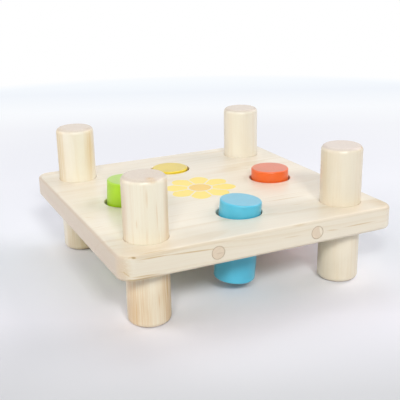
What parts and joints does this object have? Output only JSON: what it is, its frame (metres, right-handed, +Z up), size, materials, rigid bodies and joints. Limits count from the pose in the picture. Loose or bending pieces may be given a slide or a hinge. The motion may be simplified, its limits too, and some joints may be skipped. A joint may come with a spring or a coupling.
{
  "type": "peg pounding bench",
  "caption": "Reversible wooden pounding bench for toddlers: a square board on round through-legs, with painted pegs that slide up and down in gripping holes.",
  "frame": {"origin": "on the floor, below the centre of the board", "axes": "+X to the right along the front edge, +Y towards the back, +Z up"},
  "size_m": [0.245, 0.245, 0.12],
  "materials": {
    "board_wood": "pale rubberwood, sanded, satin clear lacquer",
    "leg_wood": "pale rubberwood dowel, sanded, satin clear lacquer",
    "dowel_wood": "end grain, sanded flush and lacquered",
    "yellow_paint": "wood under satin yellow water-based paint",
    "red_paint": "wood under satin red-orange water-based paint",
    "blue_paint": "wood under satin sky-blue water-based paint",
    "green_paint": "wood under satin apple-green water-based paint",
    "ring_rubber": "matt moulded rubber"
  },
  "bodies": {
    "bench": {"board_stave_front": "board_wood", "board_stave_mid_front": "board_wood", "board_stave_mid_back": "board_wood", "board_stave_back": "board_wood", "cross_dowel_left": "dowel_wood", "cross_dowel_right": "dowel_wood", "leg_front_left": "leg_wood", "leg_front_right": "leg_wood", "leg_back_left": "leg_wood", "leg_back_right": "leg_wood", "grip_ring_yellow": "ring_rubber", "grip_ring_red": "ring_rubber", "grip_ring_blue": "ring_rubber", "grip_ring_green": "ring_rubber"},
    "yellow_peg": {"peg_yellow": "yellow_paint"},
    "red_peg": {"peg_red": "red_paint"},
    "blue_peg": {"peg_blue": "blue_paint"},
    "green_peg": {"peg_green": "green_paint"}
  },
  "joints": [
    {"name": "yellow_peg_slide", "type": "slide", "parent": "bench", "child": "yellow_peg", "axis": [0, 0, 1], "range_m": [-0.0017, 0.0477]},
    {"name": "red_peg_slide", "type": "slide", "parent": "bench", "child": "red_peg", "axis": [0, 0, 1], "range_m": [-0.0097, 0.0397]},
    {"name": "blue_peg_slide", "type": "slide", "parent": "bench", "child": "blue_peg", "axis": [0.079, -0.0368, 0.9962], "range_m": [-0.01, 0.038]},
    {"name": "green_peg_slide", "type": "slide", "parent": "bench", "child": "green_peg", "axis": [0.0474, -0.0221, 0.9986], "range_m": [-0.0192, 0.0296]}
  ]
}
